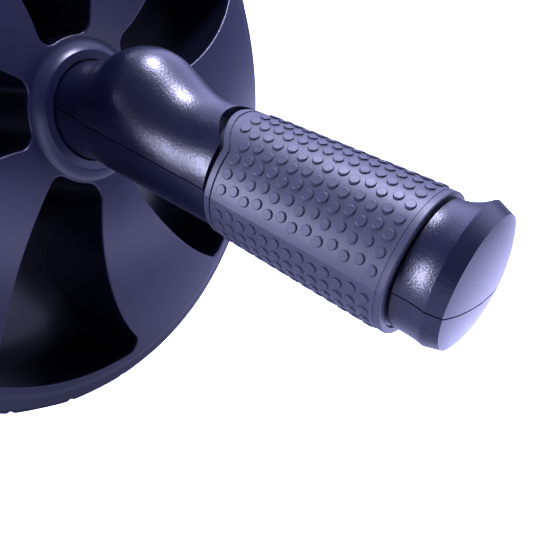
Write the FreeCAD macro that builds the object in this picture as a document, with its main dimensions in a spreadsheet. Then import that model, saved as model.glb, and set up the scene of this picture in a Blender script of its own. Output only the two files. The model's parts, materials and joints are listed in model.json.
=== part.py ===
import FreeCAD, Part
import math
import os

import Sketcher

# Ab wheel roller, millimetres, X along the axle, Z up, origin at the middle of the wheel.
doc = FreeCAD.newDocument("ab_wheel_roller")
sheet = doc.addObject("Spreadsheet::Sheet", "sizes")

SIZES = [
    # Tread
    ("tread_radius", "105"),
    ("tread_width", "60"),
    ("tread_thickness", "4"),
    ("tread_shoulder", "2.2"),
    ("groove_count", "26"),
    ("groove_width", "1.9"),
    ("groove_mouth", "3.7"),
    ("groove_depth", "1.2"),
    ("groove_angle", "3.6"),
    # Wheel half, side face from the rim to the hub
    ("lip_height", "1.8"),
    ("lip_width", "1.4"),
    ("band_step", "1.8"),
    ("band_setback", "2.2"),
    ("dome_step", "1.4"),
    ("dome_setback", "2.2"),
    ("dome_rise", "8.4"),
    ("dome_arc_radius", "129"),
    ("collar_rise", "2.2"),
    ("collar_wall", "2.8"),
    ("collar_flare", "4"),
    ("collar_flare_radius", "5"),
    ("cup_gap", "0.6"),
    ("cup_depth", "6.2"),
    ("skin", "3"),
    ("rim_skin", "4.8"),
    ("rim_wall", "3.5"),
    ("hub_wall", "4.5"),
    # Swirled pockets between the spokes, sides given by the angles of their ends
    ("pocket_count", "5"),
    ("pocket_floor_x", "9"),
    ("pocket_wall", "2.5"),
    ("pocket_hub_land", "0.8"),
    ("pocket_rim_land", "7.1"),
    ("pocket_corner", "4.5"),
    ("pocket_heel", "5"),
    ("lead_foot", "8.36"),
    ("lead_tip", "22.17"),
    ("lead_radius", "90.93"),
    ("trail_foot", "55.4"),
    ("trail_tip", "63.4"),
    ("trail_radius", "57.46"),
    ("mouth_round", "0.5"),
    # Axle and bearings
    ("axle_radius", "6"),
    ("axle_reach", "32.6"),
    ("axle_chamfer", "1"),
    ("axle_end_gap", "0.3"),
    ("running_fit", "0.05"),
    ("bush_wall", "2.45"),
    ("bush_length", "24"),
    ("flange_width", "3.5"),
    ("flange_thickness", "1.6"),
    ("washer_lap", "0.5"),
    ("washer_thickness", "1.5"),
    ("thrust_gap", "0.3"),
    ("pin_radius", "2.5"),
    ("pin_length", "24"),
    # Handle neck
    ("bend_reach", "13.6"),
    ("droop", "18.5"),
    ("root_radius", "15.6"),
    ("root_length", "20"),
    ("neck_length", "51.9"),
    ("neck_wide", "17.6"),
    ("neck_deep", "17"),
    ("pod_rise", "23.9"),
    ("notch_half", "13"),
    ("parting_step", "0.3"),
    # Grip sleeve
    ("shoulder_gap", "1.8"),
    ("tongue_reach", "6.5"),
    ("tongue_lap", "1"),
    ("tip_gap", "2.9"),
    ("sleeve_length", "57.7"),
    ("grip_wall", "4.4"),
    ("grip_near_wide", "18.9"),
    ("grip_near_top", "17.8"),
    ("grip_near_low", "17.2"),
    ("grip_far_wide", "21.6"),
    ("grip_far_top", "20.2"),
    ("grip_far_low", "19.3"),
    # End cap
    ("end_gap", "0.8"),
    ("cap_length", "16.8"),
    ("cap_wide", "19.8"),
    ("cap_rise", "22.6"),
    ("cap_deep", "17.5"),
    # Screws
    ("screw_neck_s", "33"),
    ("cap_screw_inset", "4.2"),
    ("screw_seat", "9"),
    ("screw_depth", "8"),
    ("screw_radius", "1.8"),
    ("screw_head_radius", "3.4"),
    ("screw_head_height", "2.4"),
    ("screw_clearance", "0.3"),
    ("overrun", "4"),
]

# Sections of the neck: shares of its length, half width, pod rise and depth
NECK_SHARES = [
    ("neck_a", "-0.116", "0.795", "0.569", "0.882"),
    ("neck_b", "0.039", "0.920", "0.854", "0.976"),
    ("neck_c", "0.193", "0.955", "1.000", "1.000"),
    ("neck_d", "0.347", "0.966", "0.971", "1.000"),
    ("neck_e", "0.520", "0.972", "0.803", "1.000"),
    ("neck_f", "0.732", "0.983", "0.711", "1.000"),
    ("neck_g", "1.079", "1.000", "0.720", "1.000"),
]

# Sections of the end cap: shares of its length, half width, rise and depth
CAP_SHARES = [
    ("flare_a", "0", "0.955", "0.836", "0.971"),
    ("flare_b", "0.238", "0.950", "0.872", "0.971"),
    ("ridge", "0.536", "1.000", "1.000", "1.000"),
    ("brow", "0.798", "0.955", "0.916", "0.931"),
    ("crown_a", "0.899", "0.732", "0.690", "0.709"),
    ("crown_b", "0.970", "0.429", "0.407", "0.417"),
    ("crown_c", "1", "0.152", "0.142", "0.149"),
]

# Sections that each stretch of the handle passes through, and whether straight lines join them
STRETCHES = [
    ("flare", ("flare_a", "flare_b", "ridge"), False),
    ("bevel", ("ridge", "brow"), True),
    ("crown", ("brow", "crown_a", "crown_b", "crown_c"), False),
]
CORE = ("core_near", "core_far")
GRIP = ("grip_near", "grip_far")

# Sizes that follow from the ones above
DERIVED = [
    ("tread_half", "=tread_width / 2"),
    ("tread_minus_half", "=-tread_half"),
    ("tread_crown", "=tread_half - tread_shoulder"),
    ("tread_minus_crown", "=-tread_crown"),
    ("tread_edge_radius", "=tread_radius - tread_shoulder"),
    ("rim_radius", "=tread_radius - tread_thickness"),
    ("groove_floor", "=tread_radius - groove_depth"),
    ("groove_half", "=groove_width / 2"),
    ("groove_minus_half", "=-groove_half"),
    ("mouth_half", "=groove_mouth / 2"),
    ("mouth_minus_half", "=-mouth_half"),
    ("half_pitch", "=180 / groove_count"),
    ("flat_rise", "=tread_radius * cos(half_pitch * 1 deg)"),
    ("flat_half", "=tread_radius * sin(half_pitch * 1 deg) + overrun"),
    ("flat_minus_half", "=-flat_half"),
    ("groove_top", "=tread_radius + overrun"),
    ("groove_run", "=tread_width + overrun"),
    ("lip_radius", "=rim_radius + lip_height"),
    ("lip_face_x", "=tread_half + lip_width"),
    ("band_x", "=lip_face_x + band_step"),
    ("band_radius", "=rim_radius - band_setback"),
    ("dome_rim_x", "=band_x + dome_step"),
    ("dome_rim_radius", "=band_radius - dome_setback"),
    ("dome_hub_x", "=dome_rim_x + dome_rise"),
    ("collar_x", "=dome_hub_x + collar_rise"),
    ("cup_floor_x", "=collar_x - cup_depth"),
    ("cup_radius", "=root_radius + cup_gap"),
    ("collar_radius", "=cup_radius + collar_wall"),
    ("dome_hub_radius", "=collar_radius + collar_flare"),
    ("cavity_start_x", "=-overrun"),
    ("cavity_rim_radius", "=rim_radius - rim_wall"),
    ("cavity_rim_x", "=dome_rim_x - rim_skin"),
    ("cavity_hub_x", "=dome_hub_x - skin"),
    ("cavity_step_x", "=cup_floor_x - skin"),
    ("cavity_step_radius", "=cup_radius + skin"),
    ("cavity_arc_radius", "=dome_arc_radius - skin"),
    ("pocket_inner_radius", "=dome_hub_radius + pocket_hub_land"),
    ("pocket_outer_radius", "=rim_radius - pocket_rim_land"),
    ("wall_floor_x", "=pocket_floor_x - pocket_wall"),
    ("wall_inner_radius", "=pocket_inner_radius - pocket_wall"),
    ("wall_outer_radius", "=pocket_outer_radius + pocket_wall"),
    ("wall_corner", "=pocket_corner + pocket_wall"),
    ("wall_heel", "=pocket_heel + pocket_wall"),
    ("wall_lead_radius", "=lead_radius + pocket_wall"),
    ("wall_trail_radius", "=trail_radius - pocket_wall"),
    ("bush_bore", "=axle_radius + running_fit"),
    ("bush_radius", "=bush_bore + bush_wall"),
    ("hub_tube_radius", "=bush_radius + hub_wall"),
    ("bush_inner_x", "=cup_floor_x - bush_length"),
    ("flange_radius", "=bush_radius + flange_width"),
    ("flange_x", "=cup_floor_x + flange_thickness"),
    ("washer_radius", "=flange_radius + washer_lap"),
    ("washer_x", "=flange_x + thrust_gap"),
    ("root_face_x", "=washer_x + washer_thickness"),
    ("bend_x", "=root_face_x + bend_reach"),
    ("bend_minus_x", "=-bend_x"),
    ("axle_end_x", "=root_face_x + axle_reach"),
    ("axle_body_x", "=axle_end_x - axle_chamfer"),
    ("axle_nose_radius", "=axle_radius - axle_chamfer"),
    ("axle_minus_x", "=-axle_end_x"),
    ("axle_minus_body_x", "=-axle_body_x"),
    ("droop_cos", "=cos(droop * 1 deg)"),
    ("droop_sin", "=sin(droop * 1 deg)"),
    ("root_offset", "=root_face_x - bend_x"),
    ("root_rise", "=root_offset * droop_sin"),
    ("root_reach", "=root_offset * droop_cos"),
    ("bore_run", "=axle_reach + axle_end_gap"),
    ("half_cut", "=root_length + root_radius + overrun"),
    ("half_minus_cut", "=-half_cut"),
    ("neck_far_s", "=neck_length + overrun + overrun"),
    ("sleeve_s", "=neck_length + shoulder_gap"),
    ("sleeve_end_s", "=sleeve_s + sleeve_length"),
    ("cut_half", "=grip_far_wide + overrun"),
    ("cut_minus_half", "=-cut_half"),
    ("notch_reach", "=tongue_reach + tip_gap - shoulder_gap"),
    ("notch_radius", "=(notch_half * notch_half + notch_reach * notch_reach) / (2 * notch_reach)"),
    ("notch_minus_half", "=-notch_half"),
    ("tongue_half", "=notch_half + tongue_lap"),
    ("tongue_minus_half", "=-tongue_half"),
    ("tongue_radius", "=(tongue_half * tongue_half + tongue_reach * tongue_reach) / (2 * tongue_reach)"),
    ("core_near_s", "=neck_length - notch_reach - overrun"),
    ("core_near_wide", "=grip_near_wide - grip_wall"),
    ("core_near_top", "=grip_near_top - grip_wall"),
    ("core_near_low", "=grip_near_low - grip_wall"),
    ("cap_s", "=sleeve_end_s + end_gap"),
    ("core_far_s", "=cap_s + overrun"),
    ("core_far_wide", "=grip_far_wide - grip_wall"),
    ("core_far_top", "=grip_far_top - grip_wall"),
    ("core_far_low", "=grip_far_low - grip_wall"),
    ("grip_near_s", "=core_near_s"),
    ("grip_far_s", "=sleeve_end_s"),
    ("sleeve_back_s", "=core_near_s - overrun"),
    ("screw_cap_s", "=cap_s + cap_screw_inset"),
    ("screw_tip", "=screw_depth - screw_clearance"),
    ("screw_minus_seat", "=-screw_seat"),
    ("screw_head_z", "=-screw_seat - screw_head_height"),
    ("screw_hole_radius", "=screw_radius + screw_clearance"),
    ("screw_recess_radius", "=screw_head_radius + screw_clearance"),
    ("screw_neck_x", "=bend_x + screw_neck_s * droop_cos"),
    ("screw_neck_z", "=-screw_neck_s * droop_sin"),
    ("screw_cap_x", "=bend_x + screw_cap_s * droop_cos"),
    ("screw_cap_z", "=-screw_cap_s * droop_sin"),
]


def side_cells(side):
    """Centre of one swept pocket side from the angles of its two ends and its radius."""
    rows = []
    for end, ring in (("foot", "inner"), ("tip", "outer")):
        for axis, turn in (("y", "cos"), ("z", "sin")):
            text = "=pocket_{r}_radius * {t}({s}_{e} * 1 deg)".format(r=ring, t=turn, s=side, e=end)
            rows.append(("_".join((side, end, axis)), text))
    for axis in ("y", "z"):
        text = "=({s}_tip_{a} - {s}_foot_{a}) / 2".format(s=side, a=axis)
        rows.append((side + "_half_" + axis, text))
    chord = "({s}_half_y * {s}_half_y + {s}_half_z * {s}_half_z)".format(s=side)
    rows.append((side + "_reach", "=sqrt({s}_radius * {s}_radius / {c} - 1)".format(s=side, c=chord)))
    for axis, sign, other in (("y", "-", "z"), ("z", "+", "y")):
        text = "={s}_foot_{a} + {s}_half_{a} {g} {s}_half_{o} * {s}_reach".format(
            s=side, a=axis, g=sign, o=other)
        rows.append((side + "_centre_" + axis, text))
    return rows


def section_cells():
    """Place, half widths, rise and depth of each handle section, and the centre heights of its arcs."""
    rows = []
    for name, along, wide, top, low in NECK_SHARES:
        rows.append((name + "_s", "=neck_length * " + along))
        rows.append((name + "_wide", "=neck_wide * " + wide))
        rows.append((name + "_top", "=pod_rise * " + top))
        rows.append((name + "_low", "=neck_deep * " + low))
    for name, along, wide, top, low in CAP_SHARES:
        rows.append((name + "_s", "=cap_s + cap_length * " + along))
        rows.append((name + "_wide", "=cap_wide * " + wide))
        rows.append((name + "_top", "=cap_rise * " + top))
        rows.append((name + "_low", "=cap_deep * " + low))
    moulded = [row[0] for row in NECK_SHARES + CAP_SHARES]
    for name in moulded + list(CORE + GRIP):
        step = " - parting_step" if name in moulded else ""
        rows.append((name + "_under", "=" + name + "_wide" + step))
        for rise, half, sign in (("_top", "_wide", ""), ("_low", "_under", "-")):
            text = "={g}({n}{r} * {n}{r} - {n}{h} * {n}{h}) / (2 * {n}{r})".format(
                g=sign, n=name, r=rise, h=half)
            rows.append((name + rise + "_mid", text))
    return rows


def fill_sheet():
    """Write every size into the sheet, one aliased cell to a row."""
    rows = SIZES + DERIVED + side_cells("lead") + side_cells("trail") + section_cells()
    for number, (alias, text) in enumerate(rows, 1):
        cell = "B%d" % number
        sheet.set("A%d" % number, alias)
        sheet.set(cell, text)
        sheet.setAlias(cell, alias)
    doc.recompute()


def size(alias):
    """Present value of a size."""
    return float(sheet.get(alias))


def bind(thing, prop, alias):
    """Tie a property to a cell of the sheet."""
    thing.setExpression(prop, "sizes." + alias)


def new_body(label):
    body = doc.addObject("PartDesign::Body", label)
    body.Label = label
    return body


def origin(body, role):
    """Plane or axis of the body's own origin."""
    for feature in body.Origin.OriginFeatures:
        if feature.Role == role:
            return feature


def new_sketch(body, name, plane):
    sketch = body.newObject("Sketcher::SketchObject", name)
    sketch.AttachmentSupport = [(origin(body, plane), "")]
    sketch.MapMode = "FlatFace"
    return sketch


def dimension(sketch, kind, alias, *where):
    """Add a driving dimension tied to the sheet."""
    value = size(alias)
    index = sketch.addConstraint(Sketcher.Constraint(kind, *where, value))
    name = "d%d" % index
    sketch.renameConstraint(index, name)
    bind(sketch, "Constraints." + name, alias)


def place_point(sketch, geometry, end, across, up):
    """Hold an end point at two sizes measured from the sketch origin, None for zero."""
    for kind, alias in (("DistanceX", across), ("DistanceY", up)):
        if alias is None:
            axis = -2 if kind == "DistanceX" else -1
            sketch.addConstraint(Sketcher.Constraint("PointOnObject", geometry, end, axis))
        else:
            dimension(sketch, kind, alias, -1, 1, geometry, end)


def value_of(alias):
    return 0.0 if alias is None else size(alias)


def profile_sketch(body, name, plane, corners):
    """Closed profile through corners (across, up, arc radius to the next corner, side the arc swells to)."""
    sketch = new_sketch(body, name, plane)
    points = [FreeCAD.Vector(value_of(c[0]), value_of(c[1]), 0) for c in corners]
    for number, corner in enumerate(corners):
        start = points[number]
        end = points[(number + 1) % len(points)]
        if len(corner) == 2:
            sketch.addGeometry(Part.LineSegment(start, end))
            continue
        chord = end - start
        middle = (start + end) * 0.5
        radius = size(corner[2])
        half = chord.Length / 2
        sagitta = radius - math.sqrt(radius * radius - half * half)
        normal = FreeCAD.Vector(-chord.y, chord.x, 0).normalize() * corner[3]
        arc = Part.Arc(start, middle + normal * sagitta, end)
        sketch.addGeometry(arc)
    count = len(corners)
    ends = []
    for number in range(count):
        first = sketch.getPoint(number, 1).sub(points[number]).Length
        second = sketch.getPoint(number, 2).sub(points[number]).Length
        ends.append((1, 2) if first < second else (2, 1))
    for number in range(count):
        after = (number + 1) % count
        sketch.addConstraint(
            Sketcher.Constraint("Coincident", number, ends[number][1], after, ends[after][0]))
    for number, corner in enumerate(corners):
        place_point(sketch, number, ends[number][0], corner[0], corner[1])
        if len(corner) > 2:
            dimension(sketch, "Radius", corner[2], number)
    return sketch


def revolve(body, name, sketch, axis):
    feature = body.newObject("PartDesign::Revolution", name)
    feature.Profile = sketch
    feature.ReferenceAxis = (origin(body, axis), [""])
    feature.Angle = 360
    body.Tip = feature
    doc.recompute()
    return feature


def polar(body, name, feature, count):
    """Repeat a feature round the axle."""
    pattern = body.newObject("PartDesign::PolarPattern", name)
    pattern.Originals = [feature]
    pattern.Axis = (origin(body, "X_Axis"), [""])
    pattern.Angle = 360
    bind(pattern, "Occurrences", count)
    body.Tip = pattern
    doc.recompute()
    return pattern


def pocket(body, name, sketch, length, reverse=False, midplane=False):
    """Cut a sketch into the body, through everything where no length is named, and see that it cut."""
    before = body.Shape.Volume
    cut = body.newObject("PartDesign::Pocket", name)
    cut.Profile = sketch
    if length is None:
        cut.Type = "ThroughAll"
    else:
        bind(cut, "Length", length)
    cut.Reversed = reverse
    cut.Midplane = midplane
    body.Tip = cut
    doc.recompute()
    if not body.Shape.Volume < before:
        raise RuntimeError(name + " cuts nothing")
    return cut


def circle_sketch(body, name, plane, radius, across=None, up=None):
    sketch = new_sketch(body, name, plane)
    centre = FreeCAD.Vector(value_of(across), value_of(up), 0)
    sketch.addGeometry(Part.Circle(centre, FreeCAD.Vector(0, 0, 1), size(radius)))
    place_point(sketch, 0, 3, across, up)
    dimension(sketch, "Radius", radius, 0)
    return sketch


def mirrored(source, label):
    """The left-hand twin of a right-hand piece."""
    twin = doc.addObject("Part::Mirroring", label)
    twin.Label = label
    twin.Source = source
    twin.Base = FreeCAD.Vector(0, 0, 0)
    twin.Normal = FreeCAD.Vector(1, 0, 0)
    return twin


# Swirled pocket outline

def circles_meet(centre_a, radius_a, centre_b, radius_b, near):
    """Crossing of two circles that lies nearest a point."""
    line = centre_b - centre_a
    gap = line.Length
    along = (radius_a ** 2 - radius_b ** 2 + gap ** 2) / (2 * gap)
    off = math.sqrt(radius_a ** 2 - along ** 2)
    line.normalize()
    side = FreeCAD.Vector(-line.y, line.x, 0) * off
    foot = centre_a + line * along
    return min((foot + side, foot - side), key=lambda point: (point - near).Length)


def swirl_sketch(body, name, prefix, floor):
    """Outline of one pocket: two swept sides, two rings round the axle and four tangent corners."""
    hub = FreeCAD.Vector(0, 0, 0)
    lead = FreeCAD.Vector(size("lead_centre_y"), size("lead_centre_z"), 0)
    trail = FreeCAD.Vector(size("trail_centre_y"), size("trail_centre_z"), 0)
    level = FreeCAD.Vector(size("tread_radius"), 0, 0)
    alias = {"lead": prefix[1] + "lead_radius", "trail": prefix[1] + "trail_radius",
             "outer": prefix[0] + "outer_radius", "inner": prefix[0] + "inner_radius",
             "corner": prefix[0] + "corner", "heel": prefix[0] + "heel"}
    radius = {key: size(word) for key, word in alias.items()}

    def corner(ring, ring_sign, centre, side, side_sign, fillet):
        near = circles_meet(hub, radius[ring], centre, radius[side], level)
        return circles_meet(hub, radius[ring] + ring_sign * radius[fillet],
                            centre, radius[side] + side_sign * radius[fillet], near)

    centres = [lead,
               corner("outer", -1, lead, "lead", -1, "corner"),
               hub,
               corner("outer", -1, trail, "trail", 1, "corner"),
               trail,
               corner("inner", 1, trail, "trail", 1, "heel"),
               hub,
               corner("inner", 1, lead, "lead", -1, "heel")]
    kinds = ["lead", "corner", "outer", "corner", "trail", "heel", "inner", "heel"]
    turns = [True, True, True, True, False, True, False, True]

    def touch(number):
        """Tangent point between an arc and the next one round the outline."""
        after = (number + 1) % len(centres)
        fillet, side = (number, after) if kinds[number] in ("corner", "heel") else (after, number)
        way = (centres[fillet] - centres[side]).normalize()
        return centres[side] + way * radius[kinds[side]]

    sketch = new_sketch(body, name, "YZ_Plane")
    bind(sketch, "AttachmentOffset.Base.z", floor)
    joints = [touch(number) for number in range(len(centres))]
    for number, centre in enumerate(centres):
        start = joints[number - 1] - centre
        end = joints[number] - centre
        if not turns[number]:
            start, end = end, start
        ring = Part.Circle(centre, FreeCAD.Vector(0, 0, 1), radius[kinds[number]])
        sketch.addGeometry(Part.ArcOfCircle(ring, math.atan2(start.y, start.x), math.atan2(end.y, end.x)))
    for number in range(len(centres)):
        after = (number + 1) % len(centres)
        leave = 2 if turns[number] else 1
        enter = 1 if turns[after] else 2
        sketch.addConstraint(Sketcher.Constraint("Tangent", number, leave, after, enter))
    place_point(sketch, 0, 3, "lead_centre_y", "lead_centre_z")
    place_point(sketch, 4, 3, "trail_centre_y", "trail_centre_z")
    for number in (2, 6):
        sketch.addConstraint(Sketcher.Constraint("Coincident", number, 3, -1, 1))
    for number, kind in enumerate(kinds):
        dimension(sketch, "Radius", alias[kind], number)
    return sketch


# Wheel

def round_mouths(body, pockets):
    """Round the edge where each pocket opens in the domed face."""
    inner = size("dome_hub_radius")
    outer = size("dome_rim_radius")
    mouths = []
    for number, edge in enumerate(pockets.Shape.Edges, 1):
        points = edge.discretize(5)
        reaches = [math.hypot(point.y, point.z) for point in points]
        on_face = min(point.x for point in points) > size("dome_rim_x")
        if on_face and inner < min(reaches) and max(reaches) < outer:
            mouths.append("Edge%d" % number)
    fillet = body.newObject("PartDesign::Fillet", "pocket_mouths")
    fillet.Base = (pockets, mouths)
    bind(fillet, "Radius", "mouth_round")
    body.Tip = fillet
    doc.recompute()


def make_wheel_half():
    """One moulded half: domed side face, hub collar and cup, blind swirled pockets, hollow behind."""
    body = new_body("wheel_face")
    revolve(body, "wheel_blank", profile_sketch(body, "wheel_profile", "XY_Plane", [
        (None, "bush_radius"),
        (None, "rim_radius"),
        ("tread_half", "rim_radius"),
        ("tread_half", "lip_radius"),
        ("lip_face_x", "lip_radius"),
        ("band_x", "band_radius"),
        ("dome_rim_x", "dome_rim_radius", "dome_arc_radius", 1),
        ("dome_hub_x", "dome_hub_radius", "collar_flare_radius", -1),
        ("collar_x", "collar_radius"),
        ("collar_x", "cup_radius"),
        ("cup_floor_x", "cup_radius"),
        ("cup_floor_x", "bush_radius"),
    ]), "X_Axis")
    sketch = swirl_sketch(body, "pocket_outline", ("pocket_", ""), "pocket_floor_x")
    one = pocket(body, "pocket_one", sketch, None, reverse=True)
    round_mouths(body, polar(body, "pockets", one, "pocket_count"))
    hollow = new_body("wheel_hollow")
    revolve(hollow, "hollow_blank", profile_sketch(hollow, "hollow_profile", "XY_Plane", [
        ("cavity_start_x", "hub_tube_radius"),
        ("cavity_start_x", "cavity_rim_radius"),
        ("cavity_rim_x", "cavity_rim_radius", "cavity_arc_radius", 1),
        ("cavity_hub_x", "dome_hub_radius"),
        ("cavity_step_x", "cavity_step_radius"),
        ("cavity_step_x", "hub_tube_radius"),
    ]), "X_Axis")
    sketch = swirl_sketch(hollow, "wall_outline", ("wall_", "wall_"), "wall_floor_x")
    one = pocket(hollow, "wall_one", sketch, None, reverse=True)
    polar(hollow, "walls", one, "pocket_count")
    half = doc.addObject("Part::Cut", "wheel_half_right")
    half.Label = "wheel_half_right"
    half.Base = body
    half.Tool = hollow
    doc.recompute()
    return half


def make_tread():
    """Rubber band round the rim with grooves across it."""
    body = new_body("tread")
    sketch = profile_sketch(body, "tread_profile", "XY_Plane", [
        ("tread_minus_half", "rim_radius"),
        ("tread_minus_half", "tread_edge_radius", "tread_shoulder", 1),
        ("tread_minus_crown", "tread_radius"),
        ("tread_crown", "tread_radius", "tread_shoulder", 1),
        ("tread_half", "tread_edge_radius"),
        ("tread_half", "rim_radius"),
    ])
    revolve(body, "tread_band", sketch, "X_Axis")
    sketch = profile_sketch(body, "flat_outline", "YZ_Plane", [
        ("flat_minus_half", "flat_rise"),
        ("flat_half", "flat_rise"),
        ("flat_half", "groove_top"),
        ("flat_minus_half", "groove_top"),
    ])
    sketch.AttachmentOffset = FreeCAD.Placement(
        FreeCAD.Vector(0, 0, 0), FreeCAD.Rotation(FreeCAD.Vector(0, 0, 1), 1))
    bind(sketch, "AttachmentOffset.Rotation.Angle", "half_pitch")
    one = pocket(body, "flat_one", sketch, "groove_run", midplane=True)
    polar(body, "flats", one, "groove_count")
    sketch = profile_sketch(body, "groove_outline", "YZ_Plane", [
        ("groove_minus_half", "groove_floor"),
        ("groove_half", "groove_floor"),
        ("mouth_half", "tread_radius"),
        ("mouth_half", "groove_top"),
        ("mouth_minus_half", "groove_top"),
        ("mouth_minus_half", "tread_radius"),
    ])
    one = pocket(body, "groove_one", sketch, "groove_run", midplane=True)
    polar(body, "grooves", one, "groove_count")
    body.Placement = FreeCAD.Placement(FreeCAD.Vector(0, 0, 0), FreeCAD.Rotation(FreeCAD.Vector(1, 0, 0), 1))
    bind(body, "Placement.Rotation.Angle", "groove_angle")
    return body


def make_bush():
    """Flanged bush pressed into the hub."""
    body = new_body("hub_bush_right")
    revolve(body, "bush_turned", profile_sketch(body, "bush_profile", "XY_Plane", [
        ("bush_inner_x", "bush_bore"),
        ("bush_inner_x", "bush_radius"),
        ("cup_floor_x", "bush_radius"),
        ("cup_floor_x", "flange_radius"),
        ("flange_x", "flange_radius"),
        ("flange_x", "bush_bore"),
    ]), "X_Axis")
    return body


def make_washer():
    """Thrust washer between the bush and the handle."""
    body = new_body("thrust_washer_right")
    revolve(body, "washer_turned", profile_sketch(body, "washer_profile", "XY_Plane", [
        ("washer_x", "bush_bore"),
        ("washer_x", "washer_radius"),
        ("root_face_x", "washer_radius"),
        ("root_face_x", "bush_bore"),
    ]), "X_Axis")
    return body


def make_axle():
    """Steel axle with a cross hole for each handle's pin."""
    body = new_body("axle")
    revolve(body, "axle_turned", profile_sketch(body, "axle_profile", "XY_Plane", [
        ("axle_minus_x", None),
        ("axle_minus_x", "axle_nose_radius"),
        ("axle_minus_body_x", "axle_radius"),
        ("axle_body_x", "axle_radius"),
        ("axle_end_x", "axle_nose_radius"),
        ("axle_end_x", None),
    ]), "X_Axis")
    for name, place in (("pin_hole_right", "bend_x"), ("pin_hole_left", "bend_minus_x")):
        hole = circle_sketch(body, name + "_outline", "XZ_Plane", "pin_radius", place)
        pocket(body, name, hole, "pin_length", midplane=True)
    return body


def make_pin():
    """Cross pin that keys the handle to the axle."""
    body = new_body("axle_pin_right")
    sketch = circle_sketch(body, "pin_outline", "XZ_Plane", "pin_radius", "bend_x")
    pad = body.newObject("PartDesign::Pad", "pin_rod")
    pad.Profile = sketch
    bind(pad, "Length", "pin_length")
    pad.Midplane = True
    body.Tip = pad
    doc.recompute()
    return body


# Handle

def hang_on_handle(body, place_x="bend_x", place_z=None):
    """Set a body in the handle's frame, which droops from the bend of the neck."""
    body.Placement = FreeCAD.Placement(FreeCAD.Vector(0, 0, 0), FreeCAD.Rotation(FreeCAD.Vector(0, 1, 0), 1))
    bind(body, "Placement.Base.x", place_x)
    if place_z:
        bind(body, "Placement.Base.z", place_z)
    bind(body, "Placement.Rotation.Angle", "droop")


def half_section(body, name, sign):
    """Half section of the handle: the parting line and one arc over or under it."""
    wide = name + ("_wide" if sign > 0 else "_under")
    rise = name + ("_top" if sign > 0 else "_low")
    sketch = new_sketch(body, body.Label + "_" + name, "YZ_Plane")
    bind(sketch, "AttachmentOffset.Base.z", name + "_s")
    left = FreeCAD.Vector(-size(wide), 0, 0)
    right = FreeCAD.Vector(size(wide), 0, 0)
    sketch.addGeometry(Part.LineSegment(left, right))
    first, last = (right, left) if sign > 0 else (left, right)
    sketch.addGeometry(Part.Arc(first, FreeCAD.Vector(0, sign * size(rise), 0), last))
    sketch.addConstraint(Sketcher.Constraint("Coincident", 0, 2, 1, 1 if sign > 0 else 2))
    sketch.addConstraint(Sketcher.Constraint("Coincident", 0, 1, 1, 2 if sign > 0 else 1))
    sketch.addConstraint(Sketcher.Constraint("PointOnObject", 0, 2, -1))
    sketch.addConstraint(Sketcher.Constraint("Symmetric", 0, 1, 0, 2, -1, 1))
    dimension(sketch, "DistanceX", wide, -1, 1, 0, 2)
    dimension(sketch, "DistanceY", rise + "_mid", -1, 1, 1, 3)
    return sketch


def full_section(body, name):
    """Full section of the grip: two arcs that meet in a crease at each side."""
    wide = name + "_wide"
    sketch = new_sketch(body, body.Label + "_" + name, "YZ_Plane")
    bind(sketch, "AttachmentOffset.Base.z", name + "_s")
    left = FreeCAD.Vector(-size(wide), 0, 0)
    right = FreeCAD.Vector(size(wide), 0, 0)
    sketch.addGeometry(Part.Arc(right, FreeCAD.Vector(0, size(name + "_top"), 0), left))
    sketch.addGeometry(Part.Arc(left, FreeCAD.Vector(0, -size(name + "_low"), 0), right))
    sketch.addConstraint(Sketcher.Constraint("Coincident", 0, 1, 1, 2))
    sketch.addConstraint(Sketcher.Constraint("Coincident", 0, 2, 1, 1))
    sketch.addConstraint(Sketcher.Constraint("PointOnObject", 0, 1, -1))
    sketch.addConstraint(Sketcher.Constraint("Symmetric", 0, 1, 0, 2, -1, 1))
    dimension(sketch, "DistanceX", wide, -1, 1, 0, 1)
    dimension(sketch, "DistanceY", name + "_top_mid", -1, 1, 0, 3)
    dimension(sketch, "DistanceY", name + "_low_mid", -1, 1, 1, 3)
    return sketch


def loft(body, name, sketches, kind="PartDesign::AdditiveLoft", ruled=False):
    feature = body.newObject(kind, name)
    feature.Profile = sketches[0]
    feature.Sections = sketches[1:]
    feature.Ruled = ruled
    body.Tip = feature
    doc.recompute()
    return feature


def tilted_circle(body, name, radius):
    """Circle round the axle on the face of the handle's root."""
    sketch = circle_sketch(body, name, "YZ_Plane", radius)
    sketch.AttachmentOffset = FreeCAD.Placement(
        FreeCAD.Vector(0, 0, 0), FreeCAD.Rotation(FreeCAD.Vector(-1, 0, 0), 1))
    bind(sketch, "AttachmentOffset.Base.y", "root_rise")
    bind(sketch, "AttachmentOffset.Base.z", "root_reach")
    bind(sketch, "AttachmentOffset.Rotation.Angle", "droop")
    return sketch


def cut_end(body, name, edge, far, scoop, sign):
    """Cut back the end of the neck or the sleeve, curved above the parting plane and straight below it."""
    corners = [
        (edge, "cut_minus_half"),
        (far, "cut_minus_half"),
        (far, "cut_half"),
        (edge, "cut_half"),
    ]
    if sign > 0:
        side = -1
        corners += [(edge, scoop + "_half", scoop + "_radius", side), (edge, scoop + "_minus_half")]
    pocket(body, name, profile_sketch(body, name + "_outline", "XY_Plane", corners), None, reverse=sign > 0)


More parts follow.
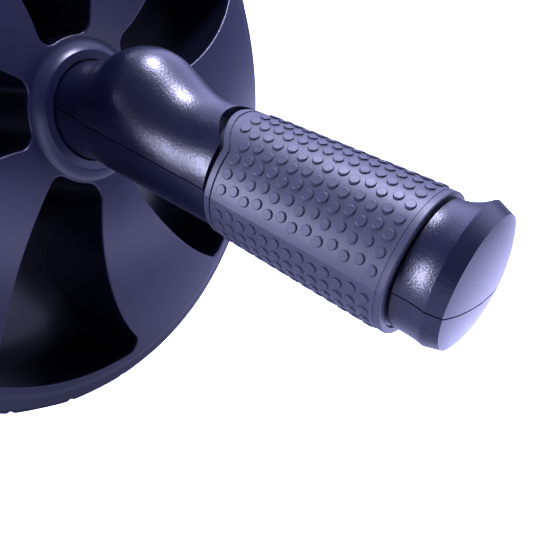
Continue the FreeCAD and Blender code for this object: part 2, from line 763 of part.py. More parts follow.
def make_handle_half(label, sign):
    """Upper or lower moulding: root in the hub cup, neck, core under the grip and flared end cap."""
    body = new_body(label)
    root = body.newObject("PartDesign::Pad", label + "_root")
    root.Profile = tilted_circle(body, label + "_root_circle", "root_radius")
    bind(root, "Length", "root_length")
    body.Tip = root
    doc.recompute()
    half = profile_sketch(body, label + "_half", "XY_Plane", [
        ("half_minus_cut", "half_minus_cut"),
        ("half_cut", "half_minus_cut"),
        ("half_cut", "half_cut"),
        ("half_minus_cut", "half_cut"),
    ])
    pocket(body, label + "_parting", half, None, reverse=sign < 0)
    loft(body, label + "_neck", [half_section(body, row[0], sign) for row in NECK_SHARES])
    cut_end(body, label + "_neck_end", "neck_length", "neck_far_s", "notch", sign)
    loft(body, label + "_core", [half_section(body, name, sign) for name in CORE], ruled=True)
    for stretch, names, ruled in STRETCHES:
        sections = []
        for name in names:
            sections.append(half_section(body, name, sign))
        loft(body, label + "_" + stretch, sections, ruled=ruled)
    pocket(body, label + "_bore", tilted_circle(body, label + "_bore_circle", "axle_radius"), "bore_run",
           reverse=True)
    pocket(body, label + "_pin", circle_sketch(body, label + "_pin_circle", "XZ_Plane", "pin_radius"),
           "pin_length", midplane=True)
    for place in ("screw_neck_s", "screw_cap_s"):
        spot = label + "_" + place[:-2]
        if sign > 0:
            hole = circle_sketch(body, spot + "_circle", "XY_Plane", "screw_radius", place)
            pocket(body, spot, hole, "screw_depth", reverse=True)
        else:
            hole = circle_sketch(body, spot + "_circle", "XY_Plane", "screw_hole_radius", place)
            pocket(body, spot, hole, None)
            recess = circle_sketch(body, spot + "_recess_circle", "XY_Plane", "screw_recess_radius", place)
            bind(recess, "AttachmentOffset.Base.z", "screw_minus_seat")
            pocket(body, spot + "_recess", recess, None)
    hang_on_handle(body)
    return body


def make_grip():
    """Rubber sleeve over the core, creased at the parting level, with a tongue over the neck's notch."""
    body = new_body("grip_right")
    loft(body, "grip_sleeve", [full_section(body, name) for name in GRIP], ruled=True)
    cut_end(body, "grip_tongue", "sleeve_s", "sleeve_back_s", "tongue", 1)
    cut_end(body, "grip_under_end", "sleeve_s", "sleeve_back_s", "tongue", -1)
    bore = [full_section(body, name) for name in CORE]
    loft(body, "grip_bore", bore, "PartDesign::SubtractiveLoft", ruled=True)
    hang_on_handle(body)
    return body


def make_screw(label, place):
    """Pan-head screw that closes the handle from below."""
    body = new_body(label)
    revolve(body, label + "_turned", profile_sketch(body, label + "_profile", "XZ_Plane", [
        (None, "screw_head_z"),
        ("screw_head_radius", "screw_head_z"),
        ("screw_head_radius", "screw_minus_seat"),
        ("screw_radius", "screw_minus_seat"),
        ("screw_radius", "screw_tip"),
        (None, "screw_tip"),
    ]), "Z_Axis")
    hang_on_handle(body, place + "_x", place + "_z")
    return body


fill_sheet()
right = [
    make_wheel_half(),
    make_bush(),
    make_washer(),
    make_pin(),
    make_handle_half("handle_upper_right", 1),
    make_handle_half("handle_lower_right", -1),
    make_grip(),
    make_screw("neck_screw_right", "screw_neck"),
    make_screw("cap_screw_right", "screw_cap"),
]
nodes = [make_tread(), make_axle()] + right
nodes += [mirrored(piece, piece.Label.replace("_right", "_left")) for piece in right]
doc.recompute()

for item in doc.Objects:
    if "Invalid" in item.State or "Error" in item.State:
        raise RuntimeError("failed: " + item.Label)
for piece in nodes:
    if piece.Shape.isNull() or not piece.Shape.isValid():
        raise RuntimeError("bad shape: " + piece.Label)

os.makedirs("parts", exist_ok=True)
for piece in nodes:
    piece.Shape.exportStep("parts/" + piece.Label + ".step")
    print(piece.Label, len(piece.Shape.Solids), round(piece.Shape.Volume / 1000, 2), piece.Shape.BoundBox)
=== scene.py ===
import bpy
import json
import math
from mathutils import Matrix, Vector

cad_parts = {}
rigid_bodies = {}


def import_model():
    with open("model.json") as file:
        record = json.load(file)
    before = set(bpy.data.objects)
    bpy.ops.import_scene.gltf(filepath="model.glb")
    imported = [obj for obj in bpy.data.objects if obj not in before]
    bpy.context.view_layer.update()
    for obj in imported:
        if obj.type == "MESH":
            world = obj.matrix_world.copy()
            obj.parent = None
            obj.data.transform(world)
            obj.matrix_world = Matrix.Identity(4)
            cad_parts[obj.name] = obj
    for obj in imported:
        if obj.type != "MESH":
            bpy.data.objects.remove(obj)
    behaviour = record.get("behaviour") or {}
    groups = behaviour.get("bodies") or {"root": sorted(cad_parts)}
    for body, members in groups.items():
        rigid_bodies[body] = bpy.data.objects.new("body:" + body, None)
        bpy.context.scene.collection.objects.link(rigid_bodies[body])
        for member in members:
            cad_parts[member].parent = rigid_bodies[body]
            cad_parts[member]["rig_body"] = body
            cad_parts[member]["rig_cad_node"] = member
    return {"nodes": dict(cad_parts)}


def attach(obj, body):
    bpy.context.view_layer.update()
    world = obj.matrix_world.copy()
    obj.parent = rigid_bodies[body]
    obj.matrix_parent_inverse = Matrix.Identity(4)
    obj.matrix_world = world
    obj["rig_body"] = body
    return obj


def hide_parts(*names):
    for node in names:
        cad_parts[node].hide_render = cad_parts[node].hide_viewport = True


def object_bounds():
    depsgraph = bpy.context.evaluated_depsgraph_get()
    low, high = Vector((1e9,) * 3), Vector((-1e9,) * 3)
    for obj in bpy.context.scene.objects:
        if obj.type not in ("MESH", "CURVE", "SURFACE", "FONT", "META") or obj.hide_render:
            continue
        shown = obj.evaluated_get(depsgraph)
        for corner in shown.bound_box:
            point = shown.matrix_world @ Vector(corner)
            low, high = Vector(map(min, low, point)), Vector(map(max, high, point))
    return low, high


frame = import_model()
cad_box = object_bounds()
nodes = frame["nodes"]

MM = 0.001

# Points of a mesh nearer than this are merged, in millimetres
MERGE = 0.001

# Handle frame: it leaves the axle at the bend and droops below it
BEND = Vector((56 * MM, 0, 0))
DROOP = math.radians(18.5)
ALONG = Vector((math.cos(DROOP), 0, -math.sin(DROOP)))
UP = Vector((math.sin(DROOP), 0, math.cos(DROOP)))
SIDE = Vector((0, 1, 0))

# Rubber sleeve in millimetres: two sections (place along the handle, half width, rise, depth),
# the two ends, the tongue over the neck and the wall, then the number of sides of its rings
NEAR_SECTION = (40.3, 18.9, 17.8, 17.2)
FAR_SECTION = (111.4, 21.6, 20.2, 19.3)
SLEEVE_START = 53.7
SLEEVE_END = 111.4
TONGUE_REACH = 6.5
TONGUE_HALF = 14.0
SLEEVE_WALL = 4.35
SLEEVE_SIDES = 96

# Rings of the sleeve: the end they are measured from, the distance from that end and the height over the skin
INNER_RIM = [("near", 0.0, -1.2), ("near", 0.0, -0.4), ("near", 0.12, -0.12), ("near", 0.4, 0.0)]
INNER_GROOVE = [("near", 2.1, 0.0), ("near", 2.2, -0.35), ("near", 2.55, -0.35), ("near", 2.65, 0.0)]
SKIN = [("near", 3.2, 0.0), ("near", 8.0, 0.0), ("far", 30.0, 0.0), ("far", 15.0, 0.0)]
OUTER_GROOVE = [("far", 2.2, 0.0), ("far", 2.1, -0.15), ("far", 1.8, -0.15), ("far", 1.7, 0.0)]
OUTER_RIM = [("far", 0.4, 0.0), ("far", 0.12, -0.12), ("far", 0.0, -0.4), ("far", 0.0, -1.8)]
UNDERCUT = [("far", 0.7, -2.1), ("far", 0.7, -SLEEVE_WALL)]
BORE = [("near", 0.0, -SLEEVE_WALL), INNER_RIM[0]]
RINGS = INNER_RIM + INNER_GROOVE + SKIN + OUTER_GROOVE + OUTER_RIM + UNDERCUT + BORE

# Dots of the sleeve in millimetres, in columns along it and rows round it, zigzag from column to column
DOT_RADIUS = 1.45
DOT_HEIGHT = 0.45
DOT_SINK = 0.45
DOT_EDGE = 0.22
DOT_SIDES = 14
DOT_BORDER = 5.2
FIRST_COLUMN = 59.1
COLUMN_PITCH = 3.95
COLUMNS = range(-1, 13)
ROWS = 13
FIRST_ROW_SHARE = 0.062
ROW_PITCH_SHARE = 0.0725
ZIGZAG_SHARE = 0.018

# Shut line between the two mouldings of a handle, in millimetres
SHUT_GAP = 0.5
ON_PLANE = 0.01

# Edges that turn by less than this are shaded smooth
SLEEVE_SMOOTH = math.radians(22)
HANDLE_SMOOTH = math.radians(30)

# Domed face of the wheel in millimetres: an arc turned round the axle, with the arc's centre at this place
# along the axle and out from it. The pockets lie under the face and inside the rim.
DOME_PLACE = -83.97
DOME_OUT = 45.79
DOME_RADIUS = 129.0
FACE_SKIN = (0.6, 1.4)
RIM_INSIDE = (96.0, 95.0)

# Patterns of the finishes in millimetres, with grains and lines drawn coarser than real, so that they show
WHEEL_GRAIN = 0.7
WHEEL_GRAIN_DEPTH = 0.05
WHEEL_CLOUD = 30
MOULDING_CLOUD = 18
STEEL_LINES = 0.4

# How fast the steel's pattern changes along the axle, as a share of how fast it does across it
STEEL_STRETCH = 0.05

# Inputs of a node that maps one range of values onto another
FROM_RANGE = ("From Min", "From Max")
TO_RANGE = ("To Min", "To Max")

# Roughness of the wheel's face and pockets, and how far the others stray from their own
FACE_ROUGH = (0.33, 0.41)
POCKET_ROUGH = 0.24
MOULDING_STRAY = (-0.05, 0.07)
STEEL_STRAY = (-0.06, 0.1)

# Floor: how far out its glow starts, is full and is gone, in metres, the low glow inside the start being a
# painted shadow under the object;
# how much further out that is in front than behind; and where behind the object a painted shadow makes it
# fall off, from what share to what share
FLOOR_SIZE = 12
GLOW_START = 0.165
GLOW_FULL = (0.21, 0.4)
GLOW_GONE = 0.6
GLOW_LOW = 0.14
GLOW_STRENGTH = 3.7
GLOW_SLANT = 0.5
PAINTED_SHADOW_BEHIND = (0.05, 0.25, 1.0, 0.4)

# World: its light grows from the viewer's side to the wall behind, and from the foot of the wall upwards,
# each as two directions and the light at them
WALL_LIGHT = (0.0, 0.6, 0.36, 3.3)
WALL_FOOT = (0.22, 0.46, 0.12, 1.0)

# Lamps, in metres and watts
TOP_BOX = dict(place=(0.15, 0.29, 0.98), target=(0.08, 0, 0), width=0.24, height=0.24, power=19)
SIDE_BOX = dict(place=(-0.49, -0.78, 0.24), target=(0.1, 0, 0), width=0.26, height=0.42, power=18)
LAMP_COLOUR = "#D4D4FF"

# Camera of the photograph: place and the directions to the right and up
CAMERA_PLACE = Vector((0.2403, -0.1625, 0.0323))
CAMERA_RIGHT = Vector((0.8038, 0.5905, -0.0725))
CAMERA_UP = Vector((-0.1559, 0.3266, 0.9322))
SENSOR_MM = 36
LENS_MM = 49.09
CLIP_START = 0.01


def linear(code):
    """Linear colour from an sRGB hex code."""
    parts = [int(code[i:i + 2], 16) / 255 for i in (1, 3, 5)]
    return tuple(p / 12.92 if p <= 0.04045 else ((p + 0.055) / 1.055) ** 2.4 for p in parts) + (1.0,)


def add_node(tree, kind, settings=(), values=(), links=()):
    """Add a node, set its properties and input values, and link (input, source node, output) into it."""
    made = tree.nodes.new(kind)
    for name, value in settings:
        setattr(made, name, value)
    for name, value in values:
        made.inputs[name].default_value = value
    for name, source, output in links:
        tree.links.new(source.outputs[output], made.inputs[name])
    return made


def new_material(name):
    """A new material with its node tree and its shader."""
    material = bpy.data.materials.new(name)
    material.use_nodes = True
    tree = material.node_tree
    return material, tree, tree.nodes["Principled BSDF"]


def deselect():
    bpy.ops.object.select_all(action="DESELECT")


def select_all_mesh():
    bpy.ops.object.mode_set(mode="EDIT")
    bpy.ops.mesh.select_all(action="SELECT")


def select_no_mesh():
    bpy.ops.object.mode_set(mode="EDIT")
    bpy.ops.mesh.select_all(action="DESELECT")
    bpy.ops.object.mode_set(mode="OBJECT")


def use_material(piece, material):
    piece.data.materials.clear()
    piece.data.materials.append(material)


# Finishes

def pocket_mask(tree, place):
    """1 in the wheel's pockets, which lie nearer to the dome's centre than the face, and 0 on the face."""
    parts = add_node(tree, "ShaderNodeSeparateXYZ", links=[("Vector", place, "Object")])
    along = add_node(tree, "ShaderNodeMath", [("operation", "ABSOLUTE")], links=[(0, parts, "X")])
    flat = add_node(tree, "ShaderNodeCombineXYZ", links=[("Y", parts, "Y"), ("Z", parts, "Z")])
    out = add_node(tree, "ShaderNodeVectorMath", [("operation", "LENGTH")],
                   links=[("Vector", flat, "Vector")])
    pair = add_node(tree, "ShaderNodeCombineXYZ", links=[("X", along, "Value"), ("Y", out, "Value")])
    centre = (DOME_PLACE * MM, DOME_OUT * MM, 0)
    ring = add_node(tree, "ShaderNodeVectorMath", [("operation", "DISTANCE")], [(1, centre)],
                    [(0, pair, "Vector")])
    under = [(DOME_RADIUS - skin) * MM for skin in FACE_SKIN]
    depth = add_node(tree, "ShaderNodeMapRange", values=zip(FROM_RANGE, under),
                     links=[("Value", ring, "Value")])
    inside = [edge * MM for edge in RIM_INSIDE]
    within = add_node(tree, "ShaderNodeMapRange", values=zip(FROM_RANGE, inside),
                      links=[("Value", out, "Value")])
    return add_node(tree, "ShaderNodeMath", [("operation", "MULTIPLY")],
                    links=[(0, depth, "Result"), (1, within, "Result")])


def moulded_polypropylene_wheel():
    """Dark navy polypropylene, spark-eroded on the face and polished in the pockets, whose colour is painted
    darker as shade.
    """
    material, tree, shader = new_material("moulded_polypropylene_wheel")
    place = add_node(tree, "ShaderNodeTexCoord")
    grain = add_node(tree, "ShaderNodeTexNoise", values=[("Scale", 1 / (WHEEL_GRAIN * MM)), ("Detail", 3.0)],
                     links=[("Vector", place, "Object")])
    cloud = add_node(tree, "ShaderNodeTexNoise", values=[("Scale", 1 / (WHEEL_CLOUD * MM)), ("Detail", 4.0)],
                     links=[("Vector", place, "Object")])
    tone = add_node(tree, "ShaderNodeValToRGB", links=[("Fac", cloud, "Fac")])
    tone.color_ramp.elements[0].color = linear("#10122A")
    tone.color_ramp.elements[1].color = linear("#161833")
    # Mask of the pockets, carrying both their painted shade and their real polish
    pocket_shade_and_polish = pocket_mask(tree, place)
    # Painted shade: the pockets take a darker colour than the face
    colour = add_node(tree, "ShaderNodeMix", [("data_type", "RGBA")], [("B", linear("#080A15"))],
                      [("Factor", pocket_shade_and_polish, "Value"), ("A", tone, "Color")])
    dull = add_node(tree, "ShaderNodeMapRange", values=zip(TO_RANGE, FACE_ROUGH),
                    links=[("Value", cloud, "Fac")])
    gloss = add_node(tree, "ShaderNodeMix", values=[("B", POCKET_ROUGH)],
                     links=[("Factor", pocket_shade_and_polish, "Value"), ("A", dull, "Result")])
    bump = add_node(tree, "ShaderNodeBump", values=[("Strength", 0.12), ("Distance", WHEEL_GRAIN_DEPTH * MM)],
                    links=[("Height", grain, "Fac")])
    tree.links.new(colour.outputs["Result"], shader.inputs["Base Color"])
    tree.links.new(gloss.outputs["Result"], shader.inputs["Roughness"])
    tree.links.new(bump.outputs["Normal"], shader.inputs["Normal"])
    shader.inputs["IOR"].default_value = 1.49
    return material


def plain_moulding(name, low, high, rough, grain_mm, depth_mm, ior):
    """Moulded plastic or rubber with a grain, drawn coarser than it is, and a slight drift of tone."""
    material, tree, shader = new_material(name)
    place = add_node(tree, "ShaderNodeTexCoord")
    grain = add_node(tree, "ShaderNodeTexNoise", values=[("Scale", 1 / (grain_mm * MM)), ("Detail", 2.0)],
                     links=[("Vector", place, "Object")])
    cloud = add_node(tree, "ShaderNodeTexNoise",
                     values=[("Scale", 1 / (MOULDING_CLOUD * MM)), ("Detail", 4.0)],
                     links=[("Vector", place, "Object")])
    tone = add_node(tree, "ShaderNodeValToRGB", links=[("Fac", cloud, "Fac")])
    tone.color_ramp.elements[0].color = linear(low)
    tone.color_ramp.elements[1].color = linear(high)
    span = [rough + stray for stray in MOULDING_STRAY]
    gloss = add_node(tree, "ShaderNodeMapRange", values=zip(TO_RANGE, span), links=[("Value", grain, "Fac")])
    bump = add_node(tree, "ShaderNodeBump", values=[("Strength", 0.25), ("Distance", depth_mm * MM)],
                    links=[("Height", grain, "Fac")])
    tree.links.new(tone.outputs["Color"], shader.inputs["Base Color"])
    tree.links.new(gloss.outputs["Result"], shader.inputs["Roughness"])
    tree.links.new(bump.outputs["Normal"], shader.inputs["Normal"])
    shader.inputs["IOR"].default_value = ior
    return material


def drawn_steel(name, low, high, rough):
    """Drawn or plated steel with fine lines along the axle, drawn coarser than they are."""
    material, tree, shader = new_material(name)
    place = add_node(tree, "ShaderNodeTexCoord")
    stretch = add_node(tree, "ShaderNodeMapping", values=[("Scale", (STEEL_STRETCH, 1, 1))],
                       links=[("Vector", place, "Object")])
    lines = add_node(tree, "ShaderNodeTexNoise", values=[("Scale", 1 / (STEEL_LINES * MM)), ("Detail", 3.0)],
                     links=[("Vector", stretch, "Vector")])
    tone = add_node(tree, "ShaderNodeValToRGB", links=[("Fac", lines, "Fac")])
    tone.color_ramp.elements[0].color = linear(low)
    tone.color_ramp.elements[1].color = linear(high)
    span = [rough + stray for stray in STEEL_STRAY]
    gloss = add_node(tree, "ShaderNodeMapRange", values=zip(TO_RANGE, span), links=[("Value", lines, "Fac")])
    tree.links.new(tone.outputs["Color"], shader.inputs["Base Color"])
    tree.links.new(gloss.outputs["Result"], shader.inputs["Roughness"])
    shader.inputs["Metallic"].default_value = 1.0
    return material


# Rubber sleeve with raised dots

def sleeve_arc(along, face):
    """Radius, centre height and half angle of the sleeve's upper (1) or lower (-1) face, in millimetres."""
    share = (along - NEAR_SECTION[0]) / (FAR_SECTION[0] - NEAR_SECTION[0])
    wide, top, low = [a + share * (b - a) for a, b in zip(NEAR_SECTION[1:], FAR_SECTION[1:])]
    rise = top if face > 0 else low
    centre = (rise * rise - wide * wide) / (2 * rise)
    return rise - centre, centre, math.atan2(wide, -centre)


def sleeve_at(along, turn, face, height=0.0):
    """Point and outward normal of the sleeve, turn from -1 to 1 across a face and height over the skin."""
    radius, centre, half = sleeve_arc(along, face)
    angle = turn * half
    normal = SIDE * math.sin(angle) + UP * (math.cos(angle) * face)
    middle = BEND + ALONG * (along * MM) + UP * (centre * face * MM)
    return middle + normal * ((radius + height) * MM), normal


def inner_rim(across, face):
    """Place along the handle of the sleeve's inner rim, with its tongue over the neck on the upper face."""
    if face < 0 or abs(across) >= TONGUE_HALF:
        return SLEEVE_START
    bow = (TONGUE_HALF ** 2 + TONGUE_REACH ** 2) / (2 * TONGUE_REACH)
    return SLEEVE_START - TONGUE_REACH + bow - math.sqrt(bow * bow - across * across)


def ring_place(ring, step):
    """Place of a point of the sleeve's mesh, from its ring and its step round from the near crease."""
    end, inset, height = RINGS[ring]
    half = SLEEVE_SIDES // 2
    face = 1 if step <= half else -1
    turn = 2 * step / half - 1 if face > 0 else 1 - 2 * (step - half) / half
    if end == "far":
        along = SLEEVE_END - inset
    else:
        across = sleeve_at(SLEEVE_START, turn, face)[0].y / MM
        along = inner_rim(across, face) + inset
    return sleeve_at(along, turn, face, height)[0]


def sleeve_model(name):
    """The rubber sleeve: a tube of rings drawn to the oval sections, with rims and grooves at its ends."""
    deselect()
    last = len(RINGS) - 1
    bpy.ops.mesh.primitive_cylinder_add(vertices=SLEEVE_SIDES, radius=1, depth=last, end_fill_type="NOTHING")
    sleeve = bpy.context.object
    sleeve.name = name
    mesh = sleeve.data
    select_no_mesh()
    for edge in mesh.edges:
        heights = [mesh.vertices[v].co.z for v in edge.vertices]
        edge.select = abs(heights[0] - heights[1]) > 1
    bpy.ops.object.mode_set(mode="EDIT")
    bpy.ops.mesh.subdivide(number_cuts=last - 1)
    bpy.ops.object.mode_set(mode="OBJECT")
    creases = set()
    for vertex in mesh.vertices:
        ring = round(vertex.co.z + last / 2)
        turn = math.atan2(vertex.co.y, vertex.co.x) / (2 * math.pi)
        step = round(turn * SLEEVE_SIDES) % SLEEVE_SIDES
        if step in (0, SLEEVE_SIDES // 2):
            creases.add(vertex.index)
        vertex.co = ring_place(ring, step)
    for edge in mesh.edges:
        edge.use_edge_sharp = all(v in creases for v in edge.vertices)
    select_all_mesh()
    bpy.ops.mesh.remove_doubles(threshold=2 * MERGE * MM)
    bpy.ops.mesh.normals_make_consistent(inside=False)
    bpy.ops.object.mode_set(mode="OBJECT")
    return sleeve


def dot_model():
    """One round pad of the sleeve, with a softened top edge."""
    deselect()
    bpy.ops.mesh.primitive_cylinder_add(vertices=DOT_SIDES, radius=DOT_RADIUS * MM,
                                        depth=(DOT_HEIGHT + DOT_SINK) * MM,
                                        location=(0, 0, (DOT_HEIGHT - DOT_SINK) / 2 * MM))
    dot = bpy.context.object
    bpy.ops.object.transform_apply(location=True)
    select_no_mesh()
    for edge in dot.data.edges:
        edge.select = all(dot.data.vertices[v].co.z > 0 for v in edge.vertices)
    bpy.ops.object.mode_set(mode="EDIT")
    bpy.ops.mesh.bevel(offset=DOT_EDGE * MM, segments=2, affect="EDGES")
    bpy.ops.object.mode_set(mode="OBJECT")
    return dot


def dotted_sleeve(name):
    """The sleeve with its rows of dots, which keep clear of the plain borders."""
    sleeve = sleeve_model(name)
    pattern = dot_model()
    deselect()
    made = [sleeve]
    for face in (1, -1):
        for column in COLUMNS:
            along = FIRST_COLUMN + column * COLUMN_PITCH
            shift = ZIGZAG_SHARE * (column % 2) * face
            for row in range(ROWS):
                share = FIRST_ROW_SHARE + row * ROW_PITCH_SHARE + shift
                point, normal = sleeve_at(along, 2 * share - 1, face)
                if along - inner_rim(point.y / MM, face) < DOT_BORDER:
                    continue
                dot = pattern.copy()
                dot.data = pattern.data.copy()
                turned = normal.to_track_quat("Z", "Y").to_matrix().to_4x4()
                dot.matrix_world = Matrix.Translation(point) @ turned
                bpy.context.scene.collection.objects.link(dot)
                made.append(dot)
    bpy.data.objects.remove(pattern)
    for piece in made:
        piece.select_set(True)
    bpy.context.view_layer.objects.active = sleeve
    bpy.ops.object.join()
    bpy.ops.object.shade_smooth_by_angle(angle=SLEEVE_SMOOTH, keep_sharp_edges=True)
    return sleeve


def copy_piece(source, name):
    """A copy of a piece with its own mesh, selected and active."""
    deselect()
    made = source.copy()
    made.data = source.data.copy()
    made.name = name
    bpy.context.scene.collection.objects.link(made)
    bpy.context.view_layer.objects.active = made
    made.select_set(True)
    return made


def mirrored_sleeve(source, name):
    """The twin sleeve on the other handle."""
    twin = copy_piece(source, name)
    twin.scale.x = -1
    bpy.ops.object.transform_apply(scale=True)
    select_all_mesh()
    bpy.ops.mesh.remove_doubles(threshold=MERGE * MM)
    bpy.ops.mesh.normals_make_consistent(inside=False)
    bpy.ops.object.mode_set(mode="OBJECT")
    return twin


def opened_half(node, name, side, face):
    """A handle moulding drawn back from the parting plane, so that the shut line is a real gap."""
    half = copy_piece(node, name)
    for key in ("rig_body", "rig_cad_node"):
        if key in half:
            del half[key]
    select_all_mesh()
    bpy.ops.mesh.remove_doubles(threshold=MERGE * MM, use_sharp_edge_from_normals=True)
    bpy.ops.mesh.customdata_custom_splitnormals_clear()
    bpy.ops.object.mode_set(mode="OBJECT")
    rise = Vector((side * UP.x, 0, UP.z))
    bend = Vector((side * BEND.x, 0, 0))
    for vertex in half.data.vertices:
        if abs((vertex.co - bend).dot(rise)) < ON_PLANE * MM:
            vertex.co += rise * (face * SHUT_GAP / 2 * MM)
    bpy.ops.object.shade_smooth_by_angle(angle=HANDLE_SMOOTH, keep_sharp_edges=True)
    return half


# Satin navy spokes with a soft sheen, and deep glossy pockets with painted shade that makes them almost black
wheel_finish = moulded_polypropylene_wheel()
# Dull near-black band that shows no clear reflection
tread_finish = plain_moulding("moulded_rubber_tread", "#0B0B12", "#13131C",
                              rough=0.62, grain_mm=0.6, depth_mm=0.05, ior=1.52)
# Spark-eroded mould: the fine grain breaks each highlight into a soft speckled patch
handle_finish = plain_moulding("spark_eroded_abs_handle", "#090B1E", "#0F1128",
                               rough=0.30, grain_mm=0.6, depth_mm=0.25, ior=1.53)
# Blasted mould: greyer than the plastic beside it, with one broad dull sheen along each face
grip_finish = plain_moulding("blasted_mould_soft_rubber_grip", "#2E303D", "#393B48",
                             rough=0.46, grain_mm=0.5, depth_mm=0.04, ior=1.5)
# Milky and waxy, the one pale piece beside the steel
nylon_finish = plain_moulding("moulded_natural_nylon", "#D8D4C4", "#E4E0D2",
                              rough=0.42, grain_mm=0.4, depth_mm=0.02, ior=1.53)
# Bright with fine lines drawn along the rod
axle_finish = drawn_steel("bright_drawn_steel", "#A9ABB0", "#C9CBCE", rough=0.28)
# Greyer and duller than the rod
zinc_finish = drawn_steel("zinc_plated_steel", "#8E9096", "#B4B6BA", rough=0.34)

right_sleeve = dotted_sleeve("dotted_sleeve_right")
left_sleeve = mirrored_sleeve(right_sleeve, "dotted_sleeve_left")
for sleeve, node in ((right_sleeve, "grip_right"), (left_sleeve, "grip_left")):
    use_material(sleeve, grip_finish)
    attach(sleeve, "handles")
    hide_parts(node)

for side, hand in ((1, "right"), (-1, "left")):
    for face, level in ((1, "upper"), (-1, "lower")):
        node = f"handle_{level}_{hand}"
        half = opened_half(nodes[node], f"opened_{level}_{hand}", side, face)
        use_material(half, handle_finish)
        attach(half, "handles")
        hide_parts(node)

# Finish of each CAD node by the first word of its name; the axle's pins are plated like the screws
FINISH = {"tread": tread_finish, "axle": axle_finish, "wheel": wheel_finish, "hub": nylon_finish,
          "thrust": zinc_finish, "handle": handle_finish, "neck": zinc_finish, "cap": zinc_finish,
          "grip": grip_finish}
for name, piece in nodes.items():
    finish = zinc_finish if name.startswith("axle_pin") else FINISH[name.split("_")[0]]
    use_material(piece, finish)


# Studio

def glowing_floor_painted_shadow():
    """White floor that glows for reflections: dim under the object as a painted shadow, bright beyond its
    ends, and less so behind it as a painted shadow too.
    """
    material, tree, shader = new_material("glowing_floor_painted_shadow")
    place = add_node(tree, "ShaderNodeTexCoord")
    twin = add_node(tree, "ShaderNodeVectorMath", [("operation", "ABSOLUTE")], links=[(0, place, "Object")])
    parts = add_node(tree, "ShaderNodeSeparateXYZ", links=[("Vector", place, "Object")])
    ends = add_node(tree, "ShaderNodeSeparateXYZ", links=[("Vector", twin, "Vector")])
    reach = add_node(tree, "ShaderNodeMath", [("operation", "MULTIPLY_ADD")], [(1, GLOW_SLANT)],
                     [(0, parts, "Y"), (2, ends, "X")])
    # Painted shadow: the glow is kept low under the object, where its shadow falls
    glow = add_node(tree, "ShaderNodeValToRGB", links=[("Fac", reach, "Value")])
    for stop, position in zip(glow.color_ramp.elements, (GLOW_START, GLOW_GONE)):
        stop.color = (GLOW_LOW, GLOW_LOW, GLOW_LOW, 1)
        stop.position = position
    for position in GLOW_FULL:
        glow.color_ramp.elements.new(position).color = (1, 1, 1, 1)
    # Painted shadow behind the object: the glow falls to a share of itself there
    behind = add_node(tree, "ShaderNodeMapRange", values=zip(FROM_RANGE + TO_RANGE, PAINTED_SHADOW_BEHIND),
                      links=[("Value", parts, "Y")])
    shown = add_node(tree, "ShaderNodeMath", [("operation", "MULTIPLY")],
                     links=[(0, glow, "Color"), (1, behind, "Result")])
    path = add_node(tree, "ShaderNodeLightPath")
    seen = add_node(tree, "ShaderNodeMix", values=[("B", 1.0)],
                    links=[("Factor", path, "Is Camera Ray"), ("A", shown, "Value")])
    tint = add_node(tree, "ShaderNodeVectorMath", [("operation", "SCALE")], [(0, linear("#C9CAFF")[:3])],
                    [("Scale", seen, "Result")])
    tree.links.new(tint.outputs["Vector"], shader.inputs["Emission Color"])
    shader.inputs["Emission Strength"].default_value = GLOW_STRENGTH
    shader.inputs["Base Color"].default_value = linear("#8C8C9A")
    shader.inputs["Roughness"].default_value = 0.9
    return material


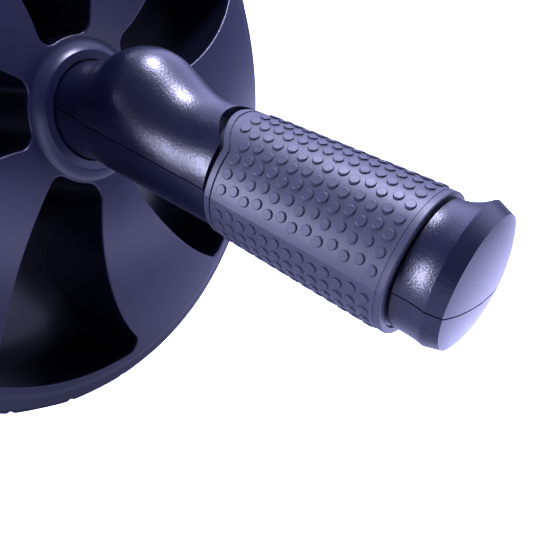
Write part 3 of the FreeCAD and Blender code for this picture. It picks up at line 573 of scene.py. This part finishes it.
def studio_world():
    """A bright wall behind, a dim room on the side of the viewer, and plain white to the camera."""
    world = bpy.data.worlds.new("studio")
    world.use_nodes = True
    tree = world.node_tree
    backdrop = tree.nodes["Background"]
    place = add_node(tree, "ShaderNodeTexCoord")
    parts = add_node(tree, "ShaderNodeSeparateXYZ", links=[("Vector", place, "Generated")])
    wall = add_node(tree, "ShaderNodeMapRange", values=zip(FROM_RANGE + TO_RANGE, WALL_LIGHT),
                    links=[("Value", parts, "Y")])
    above = add_node(tree, "ShaderNodeMapRange", values=zip(FROM_RANGE + TO_RANGE, WALL_FOOT),
                     links=[("Value", parts, "Z")])
    level = add_node(tree, "ShaderNodeMath", [("operation", "MULTIPLY")],
                     links=[(0, wall, "Result"), (1, above, "Result")])
    tree.links.new(level.outputs["Value"], backdrop.inputs["Strength"])
    backdrop.inputs["Color"].default_value = linear("#C0C2FF")
    sight = add_node(tree, "ShaderNodeBackground", values=[("Color", linear("#FFFFFF")), ("Strength", 1.0)])
    path = add_node(tree, "ShaderNodeLightPath")
    pick = add_node(tree, "ShaderNodeMixShader", links=[("Fac", path, "Is Camera Ray")])
    for socket, light in ((1, backdrop), (2, sight)):
        tree.links.new(light.outputs["Background"], pick.inputs[socket])
    tree.links.new(pick.outputs["Shader"], tree.nodes["World Output"].inputs["Surface"])
    return world


def soft_box(name, place, target, width, height, power):
    """A rectangular lamp aimed at a point."""
    lamp = bpy.data.lights.new(name, "AREA")
    lamp.shape = "RECTANGLE"
    lamp.size = width
    lamp.size_y = height
    lamp.energy = power
    lamp.color = linear(LAMP_COLOUR)[:3]
    holder = bpy.data.objects.new(name, lamp)
    holder.location = place
    holder.rotation_euler = (Vector(target) - Vector(place)).to_track_quat("-Z", "Y").to_euler()
    bpy.context.scene.collection.objects.link(holder)


deselect()
bpy.ops.mesh.primitive_plane_add(size=FLOOR_SIZE, location=(0, 0, cad_box[0][2]))
floor = bpy.context.object
floor.name = "floor"
use_material(floor, glowing_floor_painted_shadow())
bpy.context.scene.world = studio_world()
soft_box("top_box", **TOP_BOX)
soft_box("side_box", **SIDE_BOX)

lens = bpy.data.cameras.new("camera")
lens.sensor_width = SENSOR_MM
lens.lens = LENS_MM
lens.clip_start = CLIP_START
camera = bpy.data.objects.new("camera", lens)
turn = Matrix((CAMERA_RIGHT, CAMERA_UP, CAMERA_RIGHT.cross(CAMERA_UP))).transposed()
camera.matrix_world = Matrix.Translation(CAMERA_PLACE) @ turn.to_4x4()
bpy.context.scene.collection.objects.link(camera)
bpy.context.scene.camera = camera
bpy.context.scene.view_settings.view_transform = "Standard"
